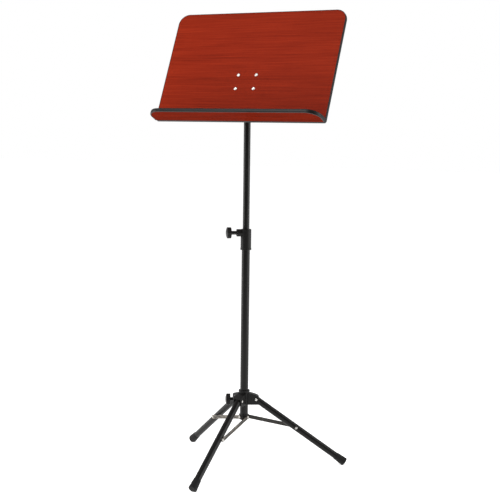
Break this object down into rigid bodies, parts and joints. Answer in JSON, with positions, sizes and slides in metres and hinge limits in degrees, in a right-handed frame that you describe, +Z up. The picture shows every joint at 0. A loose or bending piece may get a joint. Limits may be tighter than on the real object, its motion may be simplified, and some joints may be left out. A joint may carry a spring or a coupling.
{
  "type": "music stand",
  "caption": "Orchestra music stand: lean-back wooden desk with a page ledge, on a telescoping mast with a height clamp and a folding tripod base.",
  "frame": {"origin": "on the mast's axis at floor level, under the middle of the tripod", "axes": "+Z up along the mast; the desk's face looks toward -Y and the reader's right hand is +X"},
  "size_m": [0.5, 0.4319, 1.2238],
  "materials": {
    "mahogany_veneer": "mahogany-stained veneer, satin lacquer",
    "edge_moulding": "black extruded edge moulding, semi-gloss",
    "bright_steel": "nickel-plated steel, bright",
    "black_steel": "black powder coat, semi-gloss",
    "brace_steel": "thin black enamel on pressed steel",
    "pin_steel": "zinc-plated steel",
    "brass_insert": "turned brass",
    "cast_alloy": "black painted zinc casting",
    "moulded_nylon": "black glass-filled nylon, fine moulded texture",
    "knob_plastic": "black phenolic moulding, semi-gloss",
    "plain_nylon": "plain nylon, smooth",
    "foot_rubber": "black rubber, matt"
  },
  "bodies": {
    "post": {"lower_tube": "black_steel", "clamp_collar": "moulded_nylon", "clamp_bush": "plain_nylon", "clamp_nut": "pin_steel", "mast_plug": "moulded_nylon", "brace_inner_pins": "pin_steel"},
    "guide": {"guide_bush": "plain_nylon"},
    "mast": {"upper_tube": "black_steel", "tilt_head": "cast_alloy", "tilt_washers": "plain_nylon", "head_rivet": "bright_steel"},
    "desk": {"desk_board": "mahogany_veneer", "desk_edge_trim": "edge_moulding", "shelf_board": "mahogany_veneer", "shelf_edge_trim": "edge_moulding", "shelf_screws": "bright_steel", "desk_rivets": "bright_steel", "desk_bracket": "black_steel", "tilt_bolt": "bright_steel"},
    "tilt_knob": {"tilt_knob": "knob_plastic", "tilt_knob_insert": "brass_insert"},
    "clamp_knob": {"clamp_knob": "knob_plastic", "clamp_screw": "bright_steel"},
    "hub": {"hub": "moulded_nylon", "hub_nut": "pin_steel", "leg_pivot_rivets": "pin_steel"},
    "hub_knob": {"hub_knob": "knob_plastic", "hub_screw": "bright_steel"},
    "leg_1": {"leg_tube_1": "black_steel", "foot_1": "foot_rubber", "brace_washer_1": "plain_nylon", "leg_rivet_1": "pin_steel"},
    "brace_1": {"brace_1": "brace_steel", "brace_rivet_1": "pin_steel"},
    "leg_2": {"leg_tube_2": "black_steel", "foot_2": "foot_rubber", "brace_washer_2": "plain_nylon", "leg_rivet_2": "pin_steel"},
    "brace_2": {"brace_2": "brace_steel", "brace_rivet_2": "pin_steel"},
    "leg_3": {"leg_tube_3": "black_steel", "foot_3": "foot_rubber", "brace_washer_3": "plain_nylon", "leg_rivet_3": "pin_steel"},
    "brace_3": {"brace_3": "brace_steel", "brace_rivet_3": "pin_steel"}
  },
  "joints": [
    {"name": "height_slide", "type": "slide", "parent": "post", "child": "guide", "axis": [0, 0, 1], "range_m": [-0.25, 0.11]},
    {"name": "mast_turn", "type": "hinge", "parent": "guide", "child": "mast", "pos_m": [0, 0, 0.47], "axis": [0, 0, 1], "continuous": true},
    {"name": "desk_tilt", "type": "hinge", "parent": "mast", "child": "desk", "pos_m": [0, 0, 0.9923], "axis": [-1, 0, 0], "range_deg": [-24.5, 65.5]},
    {"name": "tilt_knob_turn", "type": "hinge", "parent": "desk", "child": "tilt_knob", "pos_m": [0.02, 0, 0.9923], "axis": [1, 0, 0], "range_deg": [0, 360]},
    {"name": "clamp_knob_turn", "type": "hinge", "parent": "post", "child": "clamp_knob", "pos_m": [-0.03195, -0.02407, 0.6367], "axis": [-0.7986, -0.6018, 0], "range_deg": [0, 360]},
    {"name": "hub_slide", "type": "slide", "parent": "post", "child": "hub", "axis": [0, 0, 1], "range_m": [0, 0.2279]},
    {"name": "hub_knob_turn", "type": "hinge", "parent": "hub", "child": "hub_knob", "pos_m": [-0.03464, -0.02, 0.1835], "axis": [-0.866, -0.5, 0], "range_deg": [0, 360]},
    {"name": "leg_fold_1", "type": "hinge", "parent": "hub", "child": "leg_1", "pos_m": [0.02771, 0.016, 0.184], "axis": [-0.5, 0.866, 0], "range_deg": [0, 54.31]},
    {"name": "brace_swing_1", "type": "hinge", "parent": "post", "child": "brace_1", "pos_m": [0.0013, 0.00075, 0.135], "axis": [0.5, -0.866, 0], "range_deg": [0, 89.95]},
    {"name": "leg_fold_2", "type": "hinge", "parent": "hub", "child": "leg_2", "pos_m": [-0.02771, 0.016, 0.184], "axis": [-0.5, -0.866, 0], "range_deg": [0, 54.31]},
    {"name": "brace_swing_2", "type": "hinge", "parent": "post", "child": "brace_2", "pos_m": [-0.0013, 0.00075, 0.135], "axis": [0.5, 0.866, 0], "range_deg": [0, 89.95]},
    {"name": "leg_fold_3", "type": "hinge", "parent": "hub", "child": "leg_3", "pos_m": [0, -0.032, 0.184], "axis": [1, 0, 0], "range_deg": [0, 54.31]},
    {"name": "brace_swing_3", "type": "hinge", "parent": "post", "child": "brace_3", "pos_m": [0, -0.0015, 0.135], "axis": [-1, 0, 0], "range_deg": [0, 89.95]}
  ],
  "couplings": [
    {"joint": "leg_fold_1", "follows": "hub_slide", "rad_per_m": 4.1586},
    {"joint": "brace_swing_1", "follows": "hub_slide", "rad_per_m": 6.888},
    {"joint": "leg_fold_2", "follows": "hub_slide", "rad_per_m": 4.1586},
    {"joint": "brace_swing_2", "follows": "hub_slide", "rad_per_m": 6.888},
    {"joint": "leg_fold_3", "follows": "hub_slide", "rad_per_m": 4.1586},
    {"joint": "brace_swing_3", "follows": "hub_slide", "rad_per_m": 6.888}
  ]
}
